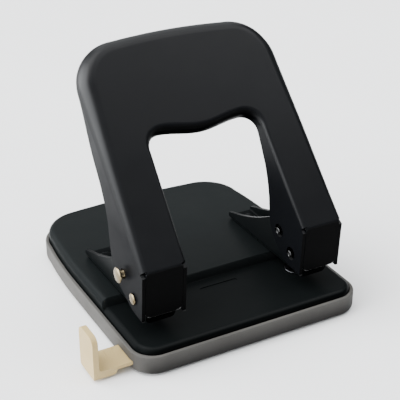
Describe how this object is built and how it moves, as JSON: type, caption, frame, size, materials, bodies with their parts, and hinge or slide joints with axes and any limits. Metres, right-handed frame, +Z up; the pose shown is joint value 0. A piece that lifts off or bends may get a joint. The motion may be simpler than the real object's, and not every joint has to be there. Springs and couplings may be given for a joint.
{
  "type": "hole punch",
  "caption": "Desk paper punch with a long loop handle, pressed steel base with paper slot, plastic chip tray and pull-out paper guide.",
  "frame": {"origin": "middle of the chip tray's flat underside, on the surface that the punch stands on", "axes": "+X to the right along the paper's edge, +Y from the paper side to the rear, +Z up"},
  "size_m": [0.1342, 0.1338, 0.1236],
  "materials": {
    "base_paint": "satin greenish black stove paint",
    "bracket_paint": "satin black paint",
    "handle_paint": "satin black paint with a faint grain",
    "tray_plastic": "matt warm grey moulded plastic",
    "guide_plastic": "matt cream moulded plastic",
    "pin_brass": "pale brass plating, polished",
    "spring_steel": "darkened spring steel",
    "tool_steel": "blackened tool steel"
  },
  "bodies": {
    "base": {"base_plate": "base_paint", "left_bracket": "bracket_paint", "right_bracket": "bracket_paint", "left_front_rivet": "bracket_paint", "left_rear_rivet": "bracket_paint", "right_front_rivet": "bracket_paint", "right_rear_rivet": "bracket_paint", "left_die": "tool_steel", "right_die": "tool_steel", "left_punch_spring": "spring_steel", "right_punch_spring": "spring_steel"},
    "handle": {"handle": "handle_paint", "left_fulcrum_pin": "pin_brass", "right_fulcrum_pin": "pin_brass", "right_drive_pin": "pin_brass"},
    "left_punch": {"left_punch": "tool_steel", "left_spring_washer": "spring_steel"},
    "right_punch": {"right_punch": "tool_steel", "right_spring_washer": "spring_steel"},
    "lock_pin": {"lock_pin": "pin_brass", "lock_pin_clip": "spring_steel"},
    "chip_tray": {"chip_tray": "tray_plastic"},
    "paper_guide": {"paper_guide": "guide_plastic"}
  },
  "joints": [
    {"name": "handle_pivot", "type": "hinge", "parent": "base", "child": "handle", "pos_m": [0, -0.0462, 0.0284], "axis": [-1, 0, 0], "range_deg": [0, 36], "stiffness_Nm_per_rad": 0.78, "springref_deg": -28.65},
    {"name": "left_punch_slide", "type": "slide", "parent": "base", "child": "left_punch", "axis": [0, 0, -1], "range_m": [0, 0.0076], "deforming": ["left_punch_spring"]},
    {"name": "right_punch_slide", "type": "slide", "parent": "base", "child": "right_punch", "axis": [0, 0, -1], "range_m": [0, 0.0076], "deforming": ["right_punch_spring"]},
    {"name": "lock_pin_slide", "type": "slide", "parent": "handle", "child": "lock_pin", "axis": [1, 0, 0], "range_m": [0, 0.0019]},
    {"name": "tray_release", "type": "slide", "parent": "base", "child": "chip_tray", "axis": [0, 0, -1], "range_m": [0, 0.02]},
    {"name": "guide_slide", "type": "slide", "parent": "chip_tray", "child": "paper_guide", "axis": [-1, 0, 0], "range_m": [-0.006, 0.075]}
  ],
  "couplings": [
    {"joint": "left_punch_slide", "follows": "handle_pivot", "m_per_rad": 0.01183},
    {"joint": "right_punch_slide", "follows": "handle_pivot", "m_per_rad": 0.01183}
  ]
}
